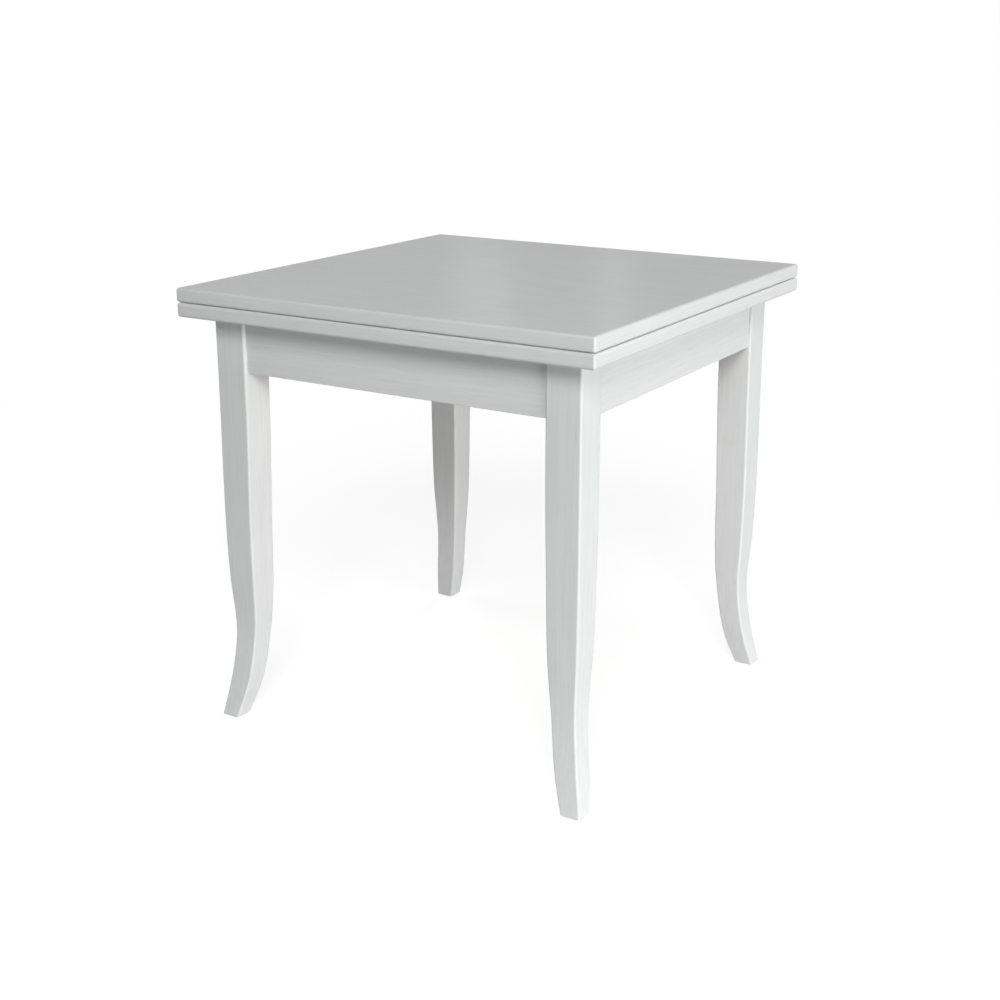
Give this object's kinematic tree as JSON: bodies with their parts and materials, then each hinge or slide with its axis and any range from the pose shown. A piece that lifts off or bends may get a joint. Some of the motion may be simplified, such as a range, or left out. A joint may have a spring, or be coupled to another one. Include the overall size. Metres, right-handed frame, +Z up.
{
  "type": "extending dining table",
  "caption": "Square white dining table with sabre legs and a double top that slides sideways and opens like a book to twice its length.",
  "frame": {"origin": "on the floor, under the middle of the closed table", "axes": "+Z up, front towards -Y, top slides towards +X and its upper leaf opens towards -X"},
  "size_m": [0.8, 0.8, 0.795],
  "materials": {
    "white_lacquer": "white satin lacquer over fine open-grained wood",
    "beech": "plain planed beech",
    "zinc_steel": "zinc-plated steel",
    "satin_nickel": "satin nickel plate",
    "felt": "pressed grey felt",
    "nylon": "off-white nylon"
  },
  "bodies": {
    "frame": {"leg_back_right": "white_lacquer", "leg_back_left": "white_lacquer", "leg_front_left": "white_lacquer", "leg_front_right": "white_lacquer", "apron_back": "white_lacquer", "apron_left": "white_lacquer", "apron_front": "white_lacquer", "apron_right": "white_lacquer", "corner_brace_back_right": "beech", "corner_brace_back_left": "beech", "corner_brace_front_left": "beech", "corner_brace_front_right": "beech", "leg_bolt_back_right": "zinc_steel", "leg_bolt_back_left": "zinc_steel", "leg_bolt_front_left": "zinc_steel", "leg_bolt_front_right": "zinc_steel", "leg_nut_back_right": "zinc_steel", "leg_nut_back_left": "zinc_steel", "leg_nut_front_left": "zinc_steel", "leg_nut_front_right": "zinc_steel", "felt_pad_back_right": "felt", "felt_pad_back_left": "felt", "felt_pad_front_left": "felt", "felt_pad_front_right": "felt", "foot_glide_back_right": "nylon", "foot_glide_back_left": "nylon", "foot_glide_front_left": "nylon", "foot_glide_front_right": "nylon", "felt_strip_front": "felt", "felt_strip_back": "felt", "guide_rail_front": "beech", "guide_rail_back": "beech", "guide_stop_front_left": "beech", "guide_stop_front_right": "beech", "guide_stop_back_left": "beech", "guide_stop_back_right": "beech", "centre_bearer": "beech"},
    "sliding_top": {"lower_leaf": "white_lacquer", "runner_front": "beech", "runner_back": "beech", "hinge_plate_lower_1": "satin_nickel", "hinge_plate_lower_2": "satin_nickel", "hinge_plate_lower_3": "satin_nickel"},
    "hinge_links": {"hinge_link_1": "satin_nickel", "hinge_link_2": "satin_nickel", "hinge_link_3": "satin_nickel", "hinge_pin_lower_1": "zinc_steel", "hinge_pin_lower_2": "zinc_steel", "hinge_pin_lower_3": "zinc_steel", "hinge_pin_upper_1": "zinc_steel", "hinge_pin_upper_2": "zinc_steel", "hinge_pin_upper_3": "zinc_steel"},
    "folding_leaf": {"upper_leaf": "white_lacquer", "hinge_plate_upper_1": "satin_nickel", "hinge_plate_upper_2": "satin_nickel", "hinge_plate_upper_3": "satin_nickel"}
  },
  "joints": [
    {"name": "top_slide", "type": "slide", "parent": "frame", "child": "sliding_top", "axis": [1, 0, 0], "range_m": [0, 0.4]},
    {"name": "hinge_link_turn", "type": "hinge", "parent": "sliding_top", "child": "hinge_links", "pos_m": [-0.3956, 0, 0.7652], "axis": [0, -1, 0], "range_deg": [0, 90]},
    {"name": "leaf_fold", "type": "hinge", "parent": "hinge_links", "child": "folding_leaf", "pos_m": [-0.3956, 0, 0.7748], "axis": [0, -1, 0], "range_deg": [0, 90]}
  ]
}
